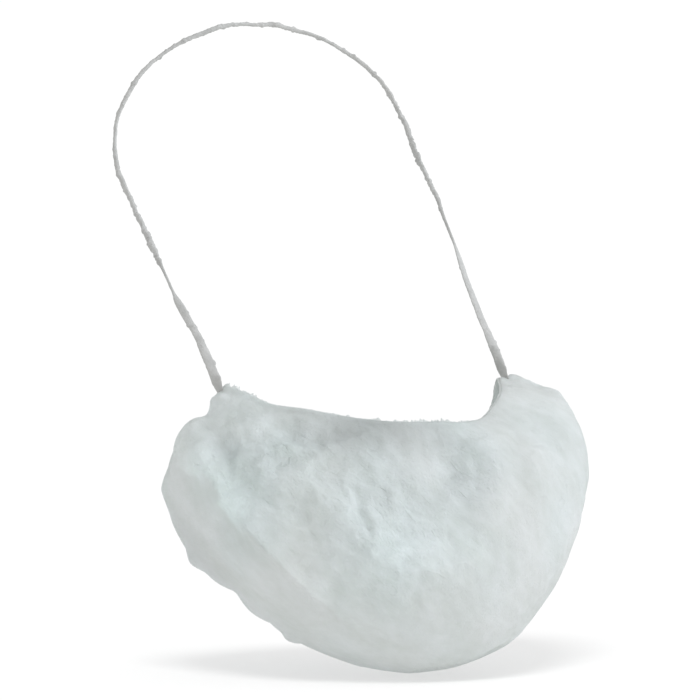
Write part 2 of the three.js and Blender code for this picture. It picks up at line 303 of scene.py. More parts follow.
# The loop along its length, from the right corner (place 0) to the left one (place 1).
# turn: how far the ribbon is twisted, in degrees. ruche: how bunched its cover is.
LOOP_FINISH = table(
    "place width thick turn ruche",
    (0.000, 5.0, 1.2,  -90, 0.05),
    (0.010, 5.2, 1.2,  -80, 0.10),
    (0.025, 4.0, 1.3,  -30, 0.16),
    (0.045, 5.0, 1.3,   15, 0.22),
    (0.075, 4.0, 1.2,   10, 0.10),
    (0.115, 3.4, 1.2,   10, 0.16),
    (0.150, 3.4, 1.2,   30, 0.06),
    (0.178, 1.5, 1.2,   90, 0.05),
    (0.205, 1.7, 1.4,  160, 0.20),
    (0.228, 2.3, 1.8,  200, 0.50),
    (0.320, 2.2, 1.7,  420, 0.42),
    (0.360, 1.9, 1.5,  500, 0.16),
    (0.450, 1.9, 1.5,  700, 0.22),
    (0.540, 2.0, 1.6,  900, 0.34),
    (0.620, 1.9, 1.5, 1060, 0.18),
    (0.700, 2.1, 1.6, 1200, 0.24),
    (0.770, 2.3, 1.8, 1340, 0.42),
    (0.838, 2.4, 1.8, 1500, 0.50),
    (0.852, 1.5, 1.3, 1530, 0.14),
    (0.878, 1.3, 1.2, 1590, 0.05),
    (0.893, 3.4, 1.2, 1640, 0.08),
    (0.930, 3.6, 1.2, 1630, 0.14),
    (0.965, 4.8, 1.3, 1622, 0.20),
    (0.978, 4.4, 1.3, 1640, 0.16),
    (0.990, 5.2, 1.2, 1695, 0.10),
    (1.000, 5.0, 1.2, 1710, 0.05),
)

# Noise that makes the pieces uneven. much: the most it adds; size: how wide its swells are, on a
# circle of radius 1 for what goes round the mouth, and in millimetres for the loop.
UNEVEN = {row["name"]: row for row in table(
    "name much size seed",
    ("pleats drift", 9, 0.5, 1),
    ("pleats wander", 4, 0.12, 2),
    ("pleats differ", 1.2, 0.16, 3),
    ("pleats end", 0.9, 0.05, 4),
    ("fine pleats drift", 7, 0.1, 5),
    ("gathers", 1.5, 0.06, 6),
    ("scallops drift", 7, 0.4, 21),
    ("scallops wander", 3, 0.08, 22),
    ("small tufts", 1.5, 0.022, 25),
    ("broad tufts", 0.7, 0.06, 27),
    ("loop wanders", 1.1, 19, 15),
    ("loop bunches", 1, 4.5, 11),
    ("loop puffs", 1.35, 2.4, 13),
    ("small loop puffs", 0.9, 1.1, 14),
    ("loop tufts", 1.6, 2.6, 15),
)}

CORNERS = np.array([0, -LOOP_ROUTE[-1][1], LOOP_CROWN_THICKNESS / 2 - LOOP_ROUTE[-1][2]])


# ---- Helpers

def read_table(rows, key, place):
    """Every column of a table at each place, as a smooth curve through its rows."""
    keys = np.array([row[key] for row in rows], float)
    last = len(keys) - 1
    i = np.clip(np.searchsorted(keys, place, side="left") - 1, 0, last - 1)
    span = keys[i + 1] - keys[i]
    t = np.clip((place - keys[i]) / span, 0, 1)
    before, after = np.maximum(np.arange(last + 1) - 1, 0), np.minimum(np.arange(last + 1) + 1, last)
    values = {}
    for column in rows[0]:
        v = np.array([row[column] for row in rows], float)
        slope = (v[after] - v[before]) / (keys[after] - keys[before])
        values[column] = ((2 * t**3 - 3 * t**2 + 1) * v[i] + (t**3 - 2 * t**2 + t) * span * slope[i]
                          + (3 * t**2 - 2 * t**3) * v[i + 1] + (t**3 - t**2) * span * slope[i + 1])
    return values


def read_round(rows, angle):
    """A table of places round the mouth, read at each angle."""
    return read_table(rows, "degrees", np.degrees(np.angle(np.exp(1j * angle))))


def unit(vectors):
    """The vectors' directions, 1 long."""
    return vectors / np.maximum(np.linalg.norm(vectors, axis=-1, keepdims=True), 1e-9)


def unit_circle(angle):
    return np.stack([np.cos(angle), np.sin(angle), np.zeros(len(angle))], -1)


def run_along(line, power=1):
    """How far along a line each of its points lies, with every step taken to a power."""
    steps = np.linalg.norm(np.diff(line, axis=0), axis=1)
    return np.concatenate([[0], np.cumsum(steps ** power)])


def swells(points, size, seed):
    """Smooth noise from -1 to 1 at each point; size is the width of its swells."""
    shift = Vector((17.3 * seed, 5.9 * seed, 11.7 * seed))
    return np.array([noise.noise(Vector(p) / size + shift) for p in points])


def uneven(name, points, further=0):
    """Noise of the table UNEVEN; further is 0 or 1, for two that differ."""
    row = UNEVEN[name]
    return row["much"] * swells(points, row["size"], row["seed"] + further)


def smooth(low, high, value):
    t = np.clip((value - low) / (high - low), 0, 1)
    return t * t * (3 - 2 * t)


def new_object(name, data):
    made = bpy.data.objects.new(name, data)
    bpy.context.scene.collection.objects.link(made)
    return made


def new_mesh(name, points, faces):
    """A smooth-shaded piece from points in the tables' frame, in millimetres."""
    mesh = bpy.data.meshes.new(name)
    mesh.from_pydata(((points + CORNERS) * MM).tolist(), [], [list(map(int, f)) for f in faces])
    mesh.update()
    mesh.polygons.foreach_set("use_smooth", [True] * len(mesh.polygons))
    return new_object(name, mesh)


def tube_faces(rings, sides, closed):
    """Faces of a tube whose rings follow each other; an open one gets a cap at each end."""
    faces = []
    for ring in range(rings if closed else rings - 1):
        here, after = ring * sides, (ring + 1) % rings * sides
        faces += [(here + i, here + (i + 1) % sides, after + (i + 1) % sides, after + i)
                  for i in range(sides)]
    if not closed:
        faces += [tuple(range(sides))[::-1], tuple(range((rings - 1) * sides, rings * sides))]
    return faces


# ---- Camera

VIEW_AZIMUTH = math.radians(-30)
VIEW_ELEVATION = math.radians(5)
VIEW_WIDTH = 315          # what the picture spans at the cover
LENS = 1000
SENSOR = 36
AIM_RIGHT = -4.95         # the middle of the picture, from the middle of the line between the corners
AIM_UP = 15.75

view_right = np.array([math.cos(VIEW_AZIMUTH), math.sin(VIEW_AZIMUTH), 0])
view_back = np.array([math.sin(VIEW_AZIMUTH) * math.cos(VIEW_ELEVATION),
                      -math.cos(VIEW_AZIMUTH) * math.cos(VIEW_ELEVATION), math.sin(VIEW_ELEVATION)])
view_up = np.cross(view_back, view_right)
SLANT = unit(view_right - view_up)    # the way most of the cloth's folds run
ACROSS = unit(view_right + view_up)


def make_camera():
    data = bpy.data.cameras.new("camera")
    data.lens = LENS
    data.sensor_width = SENSOR
    data.clip_start = 0.05
    data.clip_end = 100
    camera = new_object("camera", data)
    distance = VIEW_WIDTH * LENS / SENSOR
    aim = CORNERS + view_right * AIM_RIGHT + view_up * AIM_UP
    camera.location = Vector((aim + view_back * distance) * MM)
    camera.rotation_euler = Vector(-view_back).to_track_quat("-Z", "Y").to_euler()
    bpy.context.scene.camera = camera


make_camera()


# ---- The pouch's surface

def plain_point(angle, level):
    """The pouch without its folds."""
    section = read_table(SECTIONS, "level", level)
    across, along = np.cos(angle), np.sin(angle)
    half_width = np.where(across > 0, section["right"], section["left"])
    half_depth = np.where(along > 0, section["back"], section["front"])
    side_z = np.where(across > 0, section["right_z"], section["left_z"])
    middle_z = np.where(along > 0, section["back_z"], section["front_z"])
    toward_side = np.abs(across) ** np.where(along > 0, section["hang"], FRONT_HANG)
    dip = np.zeros(len(angle))
    for row in RIM_DIPS:
        away = (1 - np.cos(angle - math.radians(row["degrees"]))) / math.radians(row["spread"])**2
        dip += row["depth"] * np.exp(-2 * away) * np.clip(1 - level / row["level"], 0, 1)
    return np.stack([
        section["mid_x"] + half_width * across,
        section["mid_y"] + half_depth * np.sign(along) * np.abs(along) ** section["ends"],
        middle_z + (side_z - middle_z) * toward_side - dip,
    ], -1)


def cloth_directions(angle, level):
    """The direction down the cloth and the direction out of it, on the plain surface."""
    turn, step = 0.02, 0.004
    across = plain_point(angle + turn, level) - plain_point(angle - turn, level)
    down = unit(plain_point(angle, np.minimum(level + step, 1))
                - plain_point(angle, np.maximum(level - step, 0)))
    return down, unit(np.cross(down, across))


def beside_route(points, route):
    """How far each point is from a route through places on the plain surface, and on which side of
    it: seen from outside, 1 is the right."""
    route = plain_point(*np.array([(math.radians(degrees), level) for degrees, level in route]).T)
    best, side = np.full(len(points), np.inf), np.zeros(len(points))
    for start, end in zip(route[:-1], route[1:]):
        run = end - start
        t = np.clip((points - start) @ run / (run @ run), 0, 1)
        away = np.linalg.norm(points - start - t[:, None] * run, axis=1)
        rightward = np.cross((start + end) * (1, 1, 0), run)
        side = np.where(away < best, np.sign((points - start) @ rightward), side)
        best = np.minimum(best, away)
    return best, side


def fold_height(points):
    """How far the folds raise the cloth at each point."""
    height = np.zeros(len(points))
    for fold in FOLDS:
        share = beside_route(points, fold["route"])[0] / fold["reach"]
        round_fold = 0.5 + 0.5 * np.cos(np.pi * share)
        crease = (1 - share) ** 2
        profile = (1 - fold["sharp"]) * round_fold + fold["sharp"] * crease
        height += np.where(share < 1, fold["raised"] * profile, 0)
    return height


def pleat_height(angle, depth):
    """Pleats just below the hem. depth: how far down the cloth from its edge."""
    ring = unit_circle(angle)
    drift = uneven("pleats drift", ring) + uneven("pleats wander", ring)
    finish = read_round(PLEATING, angle)
    strength = finish["depth"] * (1 + uneven("pleats differ", ring))
    fade = np.exp(-depth / (finish["fade"] * (1 + uneven("pleats end", ring))))
    pleat = 0.5 * np.cos(PLEATS * angle + drift) + uneven("gathers", ring)
    fine = 0.5 * np.cos(FINE_PLEATS * angle + uneven("fine pleats drift", ring))
    fine_fade = np.exp(-depth / FINE_FADE)
    return strength * (pleat * fade + fine * fine_fade) * (1 - np.exp(-depth / PLEATS_START))


def cloth_point(angle, level):
    point = plain_point(angle, level)
    return point + cloth_directions(angle, level)[1] * fold_height(point)[:, None]


def hem_centre(angle):
    """The middle of the hem, over the edge of the cloth."""
    down, out = cloth_directions(angle, np.zeros(len(angle)))
    return (cloth_point(angle, np.zeros(len(angle))) - out * WALL / 2
            - down * (HEM_RADIUS + HEM_RIPPLE + GAP))


# ---- The head loop

def between(t, low, high, start, end):
    """On the straight line that is at start where t is low and at end where t is high."""
    return (high - t) / (high - low) * start + (t - low) / (high - low) * end


def centripetal_curve(points, count):
    """count points, evenly spaced on the centripetal Catmull-Rom curve through the given ones."""
    longer = np.array([2 * points[0] - points[1], *points, 2 * points[-1] - points[-2]])
    fine = []
    for i in range(len(points) - 1):
        near = longer[i:i + 4]
        knots = run_along(near, 0.5)
        t = np.linspace(knots[1], knots[2], 40, endpoint=False)[:, None]
        a = [between(t, knots[k], knots[k + 1], near[k], near[k + 1]) for k in range(3)]
        b = [between(t, knots[k], knots[k + 2], a[k], a[k + 1]) for k in range(2)]
        fine.append(between(t, knots[1], knots[2], *b))
    fine = np.concatenate([*fine, [points[-1]]])
    run = run_along(fine)
    even = np.linspace(0, run[-1], count)
    return np.stack([np.interp(even, run, fine[:, axis]) for axis in range(3)], -1), run[-1]


def loop_line(count):
    """The loop's middle, from the right corner to the left one, and its length."""
    right = np.array(LOOP_ROUTE, float)
    left = right[:-1] * (-1, 1, 1)
    for leg, corner in ((right, 0.0), (left, math.pi)):
        angle = np.array([corner])
        down, out = cloth_directions(angle, np.zeros(1))
        leg[0] = (hem_centre(angle) + LOOP_SEWN_DOWN * down - LOOP_SEWN_IN * out)[0]
    return centripetal_curve(np.concatenate([right, left[::-1]]), count)


def make_loop():
    """A ruched elastic: a twisted ribbon near the corners and a drawn-in cord over the head."""
    line, length = loop_line(LOOP_RINGS)
    place = np.linspace(0, 1, LOOP_RINGS)
    finish = read_table(LOOP_FINISH, "place", place)
    tangent = unit(np.gradient(line, axis=0))
    sideways = unit(np.cross(np.array([0, -1, 0]), tangent))
    facing = np.cross(tangent, sideways)
    along = np.outer(place * length, (1, 0, 0))
    steady = np.minimum(1, np.minimum(place, 1 - place) / LOOP_STEADY)
    for further, way in enumerate((sideways, facing)):
        moved = (steady * uneven("loop wanders", along, further)
                 + finish["ruche"] * uneven("loop bunches", along, further))
        line = line + way * moved[:, None]
    turn = np.radians(finish["turn"])[:, None]
    wide = (sideways * np.cos(turn) + facing * np.sin(turn)) * finish["width"][:, None] / 2
    flat = (facing * np.cos(turn) - sideways * np.sin(turn)) * finish["thick"][:, None] / 2
    side = 2 * np.pi * (np.arange(LOOP_SIDES)[:, None] + 0.5) / LOOP_SIDES
    points = line[:, None] + np.cos(side) * wide[:, None] + np.sin(side) * flat[:, None]
    points = points.reshape(-1, 3)
    outward = unit(points - np.repeat(line, LOOP_SIDES, axis=0))
    ruche = np.repeat(finish["ruche"], LOOP_SIDES)
    puffs = np.abs(uneven("loop puffs", points)) + uneven("small loop puffs", points)
    tufts = np.maximum(uneven("loop tufts", points) - LOOP_TUFTS_CUT, 0)
    tufts *= np.minimum(1, ruche / LOOP_TUFTED)
    bump = np.minimum(ruche * puffs + tufts, LOOP_BUMP)
    points += outward * bump[:, None]
    piece = new_mesh("head_loop_elastic", points, tube_faces(LOOP_RINGS, LOOP_SIDES, False))
    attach(piece, "root")
    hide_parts("head_loop")
    return piece


loop = make_loop()


# ---- The pouch

def cloth_levels():
    """Levels whose rings lie about one cell apart down the cloth."""
    level = np.linspace(0, 1, 401)
    run = np.mean([run_along(plain_point(np.full(len(level), angle), level))
                   for angle in np.linspace(0, 2 * np.pi, 24)], axis=0)
    return np.interp(np.arange(0, run[-1] - CELL / 2, CELL), run, level)


def even_angles(level, count, start):
    """Angles whose points lie evenly round the ring at this level."""
    angle = np.linspace(-np.pi, np.pi, 721)
    run = run_along(plain_point(angle, np.full(len(angle), level)))
    return np.interp((np.arange(count) + start) / count * run[-1], run, angle)


def stitch(outer, inner, outer_first, inner_first):
    """Triangles between two rings of angles, outer above inner."""
    outer_next = [*outer[1:], outer[0] + 2 * np.pi, np.inf]
    inner_next = [*inner[1:], inner[0] + 2 * np.pi, np.inf]
    faces, i, j = [], 0, 0
    while i < len(outer) or j < len(inner):
        here, there = outer_first + i % len(outer), inner_first + j % len(inner)
        if outer_next[i] <= inner_next[j]:
            faces.append((here, there, outer_first + (i + 1) % len(outer)))
            i += 1
        else:
            faces.append((here, there, inner_first + (j + 1) % len(inner)))
            j += 1
    return faces


def coordinates(mesh):
    found = np.zeros(len(mesh.vertices) * 3, np.float32)
    mesh.vertices.foreach_get("co", found)
    return found.reshape(-1, 3).astype(float)


def smoothed(mesh, values, rounds):
    """values at the mesh's vertices, averaged with their neighbours' that many times."""
    ends = np.zeros(len(mesh.edges) * 2, np.int32)
    mesh.edges.foreach_get("vertices", ends)
    here, there = np.concatenate([ends.reshape(-1, 2), ends.reshape(-1, 2)[:, ::-1]]).T
    count = np.bincount(here, minlength=len(values))[:, None]
    for _ in range(rounds):
        sums = np.stack([np.bincount(here, values[there, axis], len(values)) for axis in range(3)], -1)
        values = 0.5 * values + 0.5 * sums / count
    return values


def lattice_value(corner, seed):
    """A random number from -1 to 1 for each corner of a lattice."""
    wave = np.sin(corner @ np.array([12.9898, 78.233, 37.719]) + seed) * 43758.5453
    return 2 * (wave - np.floor(wave)) - 1


def facets(points, width, drawn_out, seed):
    """Noise from -1 to 1 in flat facets that meet in sharp creases, along the slanting folds."""
    drawn = points - drawn_out * (points @ SLANT)[:, None] * SLANT
    bent = np.stack([swells(drawn, 1.6 * width, seed + 10 * axis) for axis in range(3)], -1)
    place = drawn / width + 0.5 * bent
    corner = np.floor(place)
    order = np.argsort(corner - place, axis=1)
    within = np.take_along_axis(place - corner, order, axis=1)
    value = lattice_value(corner, seed) * (1 - within[:, 0])
    for step in range(3):
        corner[np.arange(len(points)), order[:, step]] += 1
        share = within[:, step] - (within[:, step + 1] if step < 2 else 0)
        value += lattice_value(corner, seed) * share
    return value


def right_of_edge(points):
    """How far each point lies to the right of the shoulder ridge's edge, and how much it belongs to
    that side, from 0 to 1."""
    away, side = beside_route(points, EDGE["route"])
    right = away * side + EDGE["wander"] * facets(points, **EDGE_FACETS)
    return right, smooth(-EDGE["width"], EDGE["width"], right)


def crumpled(points):
    """How strongly the cloth is crumpled at each point, from 0 to 1."""
    amount = np.full(len(points), CRUMPLED_LEAST)
    for area in CRUMPLED:
        middle = plain_point(np.radians([area["degrees"]]), np.array([area["level"]]))[0]
        away = np.linalg.norm(points - middle, axis=1) / area["reach"]
        amount = np.maximum(amount, area["strength"] * np.exp(-away ** 2))
    right, beyond = right_of_edge(points)
    near = np.exp(-(right / EDGE["calm_reach"]) ** 2)
    return amount * (1 - EDGE["calmed"] * near * (1 - beyond))


def painted_shading_at(points):
    """How much painted shade, or painted light where negative, the cloth gets at each point, in facets.
    """
    right, beyond = right_of_edge(points)
    amount = EDGE["shading_left"] * (1 - beyond) + EDGE["shading_right"] * beyond
    amount *= np.exp(-np.abs(right) / EDGE["reach"])
    for area in PAINTED_SHADING:
        away = beside_route(points, area["route"])[0] / area["reach"]
        amount += area["dense"] * np.exp(-away ** 2)
    return amount * (1 + SHADING_VARIES * facets(points, **SHADING_FACETS))


def facet_height(points, amount):
    """How far the facets raise it. amount: how crumpled it is."""
    height = np.zeros(len(points))
    for row in FACETS:
        height += row["depth"] * amount * facets(points, row["width"], row["drawn_out"], row["seed"])
    return height


def simulated(mesh, start, pinned, amount, stage):
    """Where the cloth lies after one stage of the simulation, which lets it swell a little."""
    mesh = mesh.copy()
    mesh.vertices.foreach_set("co", (start * SIM_SCALE).ravel())
    copy = new_object("crumpling", mesh)
    held, calm = copy.vertex_groups.new(name="held"), copy.vertex_groups.new(name="calm")
    for i in range(len(start)):
        hold = 1 if i < pinned else stage["hold"] + CALM_HELD * (1 - amount[i])
        held.add([i], hold, "REPLACE")
        calm.add([i], 1 - amount[i], "REPLACE")
    cloth = copy.modifiers.new("cloth", "CLOTH")
    settings = cloth.settings
    settings.quality = 5
    settings.mass = 0.3
    settings.tension_stiffness = settings.compression_stiffness = 15
    settings.shear_stiffness = 5
    settings.bending_stiffness = stage["bending"]
    settings.vertex_group_mass = "held"
    settings.vertex_group_shrink = "calm"
    settings.shrink_min = -stage["swell"]
    settings.shrink_max = 0
    settings.effector_weights.gravity = 0
    cloth.collision_settings.use_collision = False
    cloth.point_cache.frame_start = 1
    cloth.point_cache.frame_end = stage["frames"]
    for frame_number in range(1, stage["frames"] + 1):
        bpy.context.scene.frame_set(frame_number)
    shown = copy.evaluated_get(bpy.context.evaluated_depsgraph_get())
    settled = coordinates(shown.to_mesh()) / SIM_SCALE
    shown.to_mesh_clear()
    bpy.data.objects.remove(copy)
    return settled


def crumple(piece, pinned, amount):
    """Cloth simulation: the cloth swells and buckles into folds, and a part of them is kept.
    The first vertices, as many as pinned says, stay where they are. amount: how much each folds."""
    form = coordinates(piece.data)
    current = form
    for stage in CRUMPLES:
        current = simulated(piece.data, current, pinned, amount, stage)
    bpy.context.scene.frame_set(1)
    moved = current - form
    broad = smoothed(piece.data, moved, BROAD_STEPS)
    moved = BROAD_KEPT * broad + FOLDS_KEPT * (moved - broad)
    moved[:pinned] = 0
    far = np.linalg.norm(moved, axis=1, keepdims=True)
    most = MOST_MOVED * MM
    moved *= most * np.tanh(far / most) / np.maximum(far, 1e-9)
    made = form + moved
    made[:, 2] = np.maximum(made[:, 2], cad_box[0].z)
    piece.data.vertices.foreach_set("co", made.ravel())
    piece.data.update()


def thicken(piece):
    """Gives the cloth its thickness, inward."""
    solid = piece.modifiers.new("thickness", "SOLIDIFY")
    solid.thickness = CLOTH_THICKNESS * MM
    solid.offset = -1


def make_pouch():
    """The cloth: rings of points down the pouch, of which the first few wrap the hem."""
    angles, levels, faces, first = [], [], [], 0
    for row, level in enumerate([*(0 for _ in HEM_COVER), *cloth_levels()]):
        girth = run_along(plain_point(np.linspace(0, 2 * np.pi, 181), np.full(181, level)))[-1]
        count = max(6, round(girth / CELL))
        angle = even_angles(level, count, 0.5 * (row % 2))
        if row:
            faces += stitch(angles[-1], angle, first - len(angles[-1]), first)
        angles.append(angle)
        levels.append(np.full(count, level))
        first += count
    last_ring = first - count
    faces += [(last_ring + i, first, last_ring + (i + 1) % count) for i in range(count)]
    angle = np.concatenate([*angles, [0]])
    level = np.concatenate([*levels, [1]])
    points = cloth_point(angle, level)
    down, out = cloth_directions(angle, np.minimum(level, 0.995))
    out[-1] = (0, 0, -1)
    amount = crumpled(points)
    points += out * (pleat_height(angle, level * CLOTH_RUN) + facet_height(points, amount))[:, None]
    done = 0
    for cover, ring in zip(HEM_COVER, angles):
        here = slice(done, done + len(ring))
        points[here] = hem_centre(ring) + cover["out"] * out[here] + cover["down"] * down[here]
        done += len(ring)
    piece = new_mesh("pouch_cloth", points, faces)
    # the second attribute carries the painted shade and painted light that the material reads
    for name, values in (("crumpled", amount), ("painted_shade", painted_shading_at(points))):
        piece.data.attributes.new(name, "FLOAT", "POINT").data.foreach_set("value", values)
    crumple(piece, done + len(angles[len(HEM_COVER)]), amount)
    thicken(piece)
    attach(piece, "root")
    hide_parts("pouch")
    return piece


pouch = make_pouch()


# ---- The hem

def make_hem():
    """The gathered edge, nearly flush with the cloth, with small uneven scallops."""
    angle = 2 * np.pi * np.arange(HEM_RINGS) / HEM_RINGS
    centre = hem_centre(angle)
    down, out = cloth_directions(angle, np.zeros(HEM_RINGS))
    ring = unit_circle(angle)
    ragged = read_round(RAGGED, angle)["frill"]
    phase = SCALLOPS / 2 * angle + uneven("scallops drift", ring) + uneven("scallops wander", ring)
    tufts = np.abs(uneven("small tufts", ring)) + uneven("broad tufts", ring) - TUFTS_CUT
    points = []
    for side in 2 * np.pi * np.arange(HEM_SIDES) / HEM_SIDES:
        puff = np.abs(np.sin(phase + SCALLOP_LEAN * math.sin(side))) ** SCALLOP_FULLNESS - SCALLOP_MIDDLE
        top = max(0, -math.cos(side))
        height = HEM_DEPTH + top * ragged * (tufts + SCALLOP_RISE * puff)
        bulge = HEM_BULGE * (1 + SCALLOP_BULGE * puff)
        points.append(centre + down * (height * math.cos(side))[:, None]
                      + out * (bulge * math.sin(side) - HEM_SUNK)[:, None])
    points = np.stack(points, 1).reshape(-1, 3)
    piece = new_mesh("gathered_hem_band", points, tube_faces(HEM_RINGS, HEM_SIDES, True))
    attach(piece, "root")
    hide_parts("rim_elastic")
    return piece


hem = make_hem()


# ---- Materials

# shade, light: the colour where the fibres lie thin and where they lie thick; bond: how far the bond
# points are pressed in and let light through; crinkle: how deep crumpled cloth is creased.
MATERIALS = [
    dict(name="nonwoven", piece=pouch, shade=(0.835, 0.850, 0.841), light=(0.885, 0.896, 0.900),
         translucency=0.57, bond=0.72, crinkle=4.8),
    dict(name="gathered_nonwoven", piece=hem, shade=(0.86, 0.875, 0.865), light=(0.915, 0.93, 0.93),
         translucency=0.50, bond=0.60, crinkle=0),
    dict(name="covered_elastic", piece=loop, shade=(0.50, 0.50, 0.49), light=(0.60, 0.60, 0.59),
         translucency=0.15, bond=0, crinkle=0),
]
WARM = (0.997, 1, 0.995)  # tint of calm cloth
COOL = (0.962, 1, 1)      # and of crumpled cloth
CRUMPLED_COOL = 0.8       # how cool crumpling makes it
BLOTCHES_COOL = 1.2       # and blotches
COOL_FROM = 0.5           # how much of both it stays warm at
CLOUD_SHARE = 0.55        # share of the clouds in how thick the fibres lie, beside the wisps
THICKNESS_SHOWN = {"From Min": 0.36, "From Max": 0.64}
THICK_DIMS = 0.2          # how much less light comes through where they lie thick
ROUGHNESS = 0.58
FIBRE_ROUGHNESS = 0.15    # how much more fibres have
STREAK_SHARP = 34
STREAK_HIGHLIGHT = 0.05       # how much lighter a painted highlight makes the streaks
PATCH_HIGHLIGHT = 0.022       # and the patches
STREAK_RELIEF = 0.4       # how far streaks stand out, beside fibres
WISP_RELIEF = 0.6         # and wisps
BUMP_METRES = 0.0002
BONDS = {"Scale": 620, "Randomness": 0.35}
BOND_SIZE = 0.3           # the radius of a bond point, as a share of their spacing

# Textures of the cloth. scale: swells a metre; drawn_out: how much longer they are along a fold.
CLOUDS = dict(scale=55, detail=3, drawn_out=1.4)
WISPS = dict(scale=260, detail=4, drawn_out=1.6)
FIBRES = dict(scale=1400, detail=2, drawn_out=7)
BLOTCHES = dict(scale=24, detail=1)
STREAKS = dict(scale=110, detail=1, drawn_out=3)
STREAK_BREAKS = dict(scale=140, detail=1)
BREAKS_STEP = dict(middle=0.5, sharpness=10)
PATCHES_STEP = dict(middle=0.48, sharpness=24)
# patches of crumpled cloth that get a painted highlight
PATCHES = table("scale detail drawn_out", (65, 1, 1.5), (150, 1, 1.5))
CREASES = table(
    "scale drawn_out height",
    (80, 1.6, 1.8),
    (190, 1.3, 1.0),
    (450, 1, 0.6),
)


def add_node(tree, kind, inputs=None, **settings):
    """A new node. inputs: what each of its sockets takes, a value or another node's output."""
    node = tree.nodes.new("ShaderNode" + kind)
    for name, value in settings.items():
        setattr(node, name, value)
    for socket, value in (inputs or {}).items():
        if isinstance(value, bpy.types.NodeSocket):
            tree.links.new(value, node.inputs[socket])
        else:
            node.inputs[socket].default_value = value
    return node


def new_material(piece, name):
    """The empty node tree of a new material, which the piece gets."""
    material = bpy.data.materials.new(name)
    material.use_nodes = True
    material.node_tree.nodes.clear()
    piece.data.materials.append(material)
    return material.node_tree


def mixed(tree, operation, a, b, clamp=False):
    node = add_node(tree, "Math", {0: a, 1: b}, operation=operation, use_clamp=clamp)
    return node.outputs[0]


def weighted(tree, *terms):
    """The sum of the terms, each a value and its weight."""
    total = 0
    for value, weight in terms:
        total = mixed(tree, "ADD", total, mixed(tree, "MULTIPLY", value, weight))
    return total


def stepped(tree, value, middle, sharpness):
    """Steps from 0 up to 1 where the value passes its middle."""
    return mixed(tree, "MULTIPLY", mixed(tree, "SUBTRACT", value, middle), sharpness, True)


def blended(tree, factor, a, b):
    """A colour from a, where the factor is 0, to b, where it is 1."""
    inputs = {"Factor": factor, "A": (*a, 1), "B": (*b, 1)}
    return add_node(tree, "Mix", inputs, data_type="RGBA").outputs["Result"]


def drawn_out_place(tree, place, drawn_out, along):
    """Place on the object, for a texture drawn out along a direction."""
    turned = Vector(along).to_track_quat("Z", "Y").to_euler()
    inputs = {"Vector": place, "Rotation": turned, "Scale": (1, 1, drawn_out)}
    return add_node(tree, "Mapping", inputs, vector_type="TEXTURE").outputs["Vector"]


def noise_node(tree, place, scale, detail, drawn_out=1, along=SLANT):
    """Smooth noise from 0 to 1."""
    place = drawn_out_place(tree, place, drawn_out, along)
    inputs = {"Vector": place, "Scale": scale, "Detail": detail}
    return add_node(tree, "TexNoise", inputs).outputs["Fac"]


def crease_node(tree, place, scale, drawn_out):
    """Flat faces that meet in sharp creases."""
    inputs = {"Vector": drawn_out_place(tree, place, drawn_out, SLANT), "Scale": scale}
    return add_node(tree, "TexVoronoi", inputs, feature="DISTANCE_TO_EDGE").outputs["Distance"]


def streak_node(tree, place):
    """Thin broken lines where the noise crosses its middle, along the folds, which get relief and a
    painted highlight.
    """
    away = mixed(tree, "ABSOLUTE", mixed(tree, "SUBTRACT", noise_node(tree, place, **STREAKS), 0.5), 0)
    line = mixed(tree, "SUBTRACT", 1, mixed(tree, "MULTIPLY", away, STREAK_SHARP), True)
    breaks = noise_node(tree, place, **STREAK_BREAKS)
    return mixed(tree, "MULTIPLY", line, stepped(tree, breaks, **BREAKS_STEP))


def cloth_color(tree, place, thick, streaks, crumpled_here, shade, light):
    """Lighter where the fibres lie thick and cooler where the cloth is crumpled, with painted highlights
    on streaks and patches of crumpled cloth, and darker under painted shade and lighter under painted
    light."""
    contrast = add_node(tree, "MapRange", {"Value": thick, **THICKNESS_SHOWN})
    color = blended(tree, contrast.outputs["Result"], shade, light)
    blotches = noise_node(tree, place, **BLOTCHES)
    cool = weighted(tree, (crumpled_here, CRUMPLED_COOL), (blotches, BLOTCHES_COOL))
    tint = blended(tree, mixed(tree, "SUBTRACT", cool, COOL_FROM, True), WARM, COOL)
    tinted = add_node(tree, "VectorMath", {0: color, 1: tint}, operation="MULTIPLY")
    # painted highlights: streaks and patches of crumpled cloth made lighter, as creases and facets that
    # catch the light
    patches = [stepped(tree, noise_node(tree, place, **row), **PATCHES_STEP) for row in PATCHES]
    lighter = weighted(tree, (streaks, STREAK_HIGHLIGHT), *((patch, PATCH_HIGHLIGHT) for patch in patches))
    lighter = mixed(tree, "MULTIPLY", mixed(tree, "SUBTRACT", lighter, PATCH_HIGHLIGHT), crumpled_here)
    # painted shade, darker, and painted light, lighter, from the mesh's attribute
    painted_shade = add_node(tree, "Attribute", attribute_name="painted_shade").outputs["Fac"]
    brightness = mixed(tree, "ADD", weighted(tree, (lighter, 1), (painted_shade, -PAINTED_SHADE_DEPTH)), 1)
    inputs = {0: tinted.outputs["Vector"], "Scale": brightness}
    return add_node(tree, "VectorMath", inputs, operation="SCALE").outputs["Vector"]


